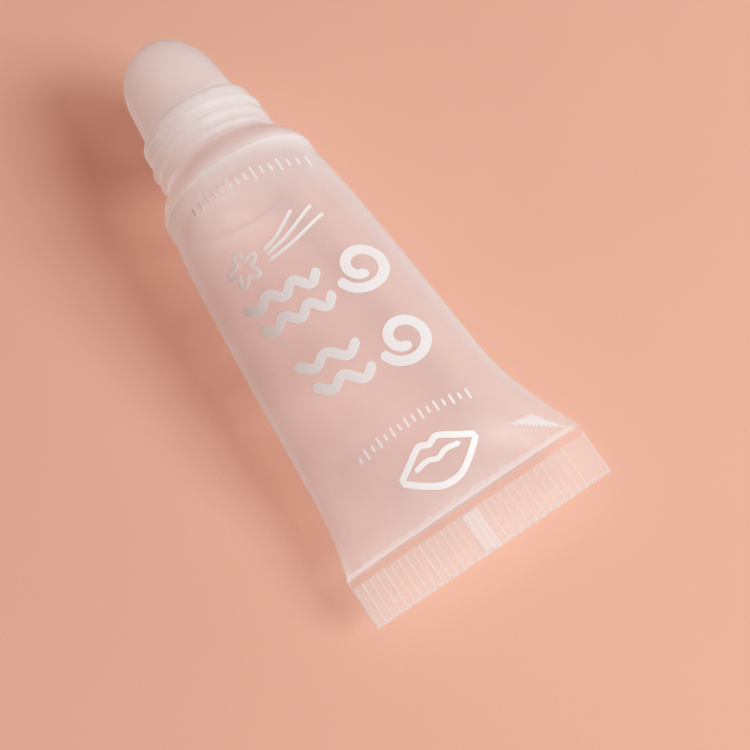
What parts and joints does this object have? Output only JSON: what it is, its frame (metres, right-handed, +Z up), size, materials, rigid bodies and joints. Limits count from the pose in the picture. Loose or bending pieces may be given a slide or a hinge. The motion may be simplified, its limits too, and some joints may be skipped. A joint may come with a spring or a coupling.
{
  "type": "lip gloss squeeze tube",
  "caption": "Small translucent squeeze tube, uncapped, with a threaded neck, a slanted applicator tip and a ribbed, sealed flat tail, lying on its underside.",
  "frame": {"origin": "on the resting surface, under the middle of the lying tube", "axes": "+X along the tube towards the applicator, +Y across the flat tail, +Z up; the tube's axis rises 5.2 degrees towards the applicator"},
  "size_m": [0.0584, 0.025, 0.0161],
  "materials": {
    "sleeve": "translucent frosted polyethylene film, semi-matte",
    "head": "natural milky polyethylene, semi-matte",
    "tip": "soft translucent polyethylene, satin",
    "gloss": "clear, faintly pink, thick gloss",
    "ink": "opaque white screen-print ink"
  },
  "bodies": {
    "root": {"tube_sleeve": "sleeve", "threaded_head": "head", "applicator_tip": "tip", "gloss_fill": "gloss"}
  },
  "joints": []
}
